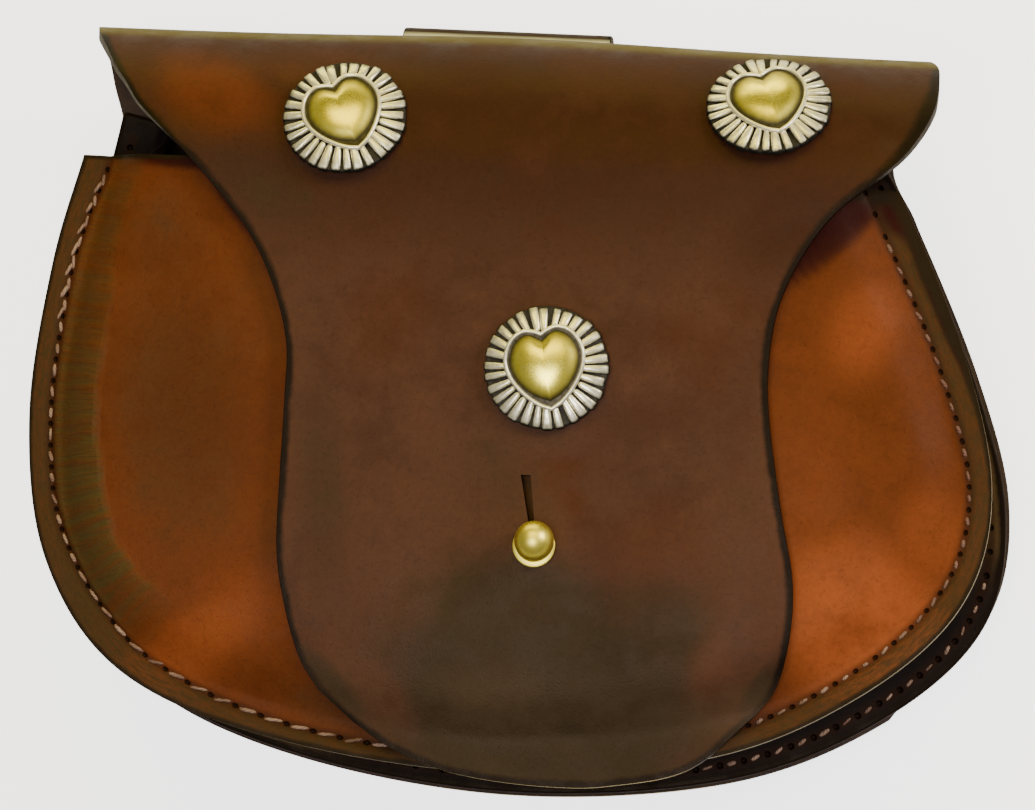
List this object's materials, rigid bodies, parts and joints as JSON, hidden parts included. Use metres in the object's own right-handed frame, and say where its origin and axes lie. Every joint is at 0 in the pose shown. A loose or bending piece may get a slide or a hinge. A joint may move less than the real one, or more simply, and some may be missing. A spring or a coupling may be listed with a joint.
{
  "type": "belt bag",
  "caption": "Hand-stitched leather belt pouch: rounded bag with gusset, flap folded over the front, heart conchos on the flap, ball stud closure and a belt loop strap on the back.",
  "frame": {"origin": "middle of the belt loop's flat outer face, which the bag lies on", "axes": "+X across the bag to the wearer's left as worn on the front, +Y up the bag from its bottom edge to the fold, +Z from the back out through the front"},
  "size_m": [0.1996, 0.1599, 0.0673],
  "materials": {
    "flap_leather": "dark brown, mottled, waxed, with burnished edges",
    "front_leather": "russet tan, mottled, waxed",
    "gusset_leather": "near-black brown, satin",
    "loop_leather": "dark brown, satin",
    "concho_metal": "antiqued silver plate, darkened in the grooves",
    "stud_brass": "polished"
  },
  "bodies": {
    "root": {"back_and_flap": "flap_leather", "front_panel": "front_leather", "gusset": "gusset_leather", "belt_loop": "loop_leather", "concho_left": "concho_metal", "concho_right": "concho_metal", "concho_centre": "concho_metal", "concho_screw_left": "concho_metal", "concho_screw_right": "concho_metal", "concho_screw_centre": "concho_metal", "stud": "stud_brass", "stud_screw": "stud_brass"}
  },
  "joints": []
}
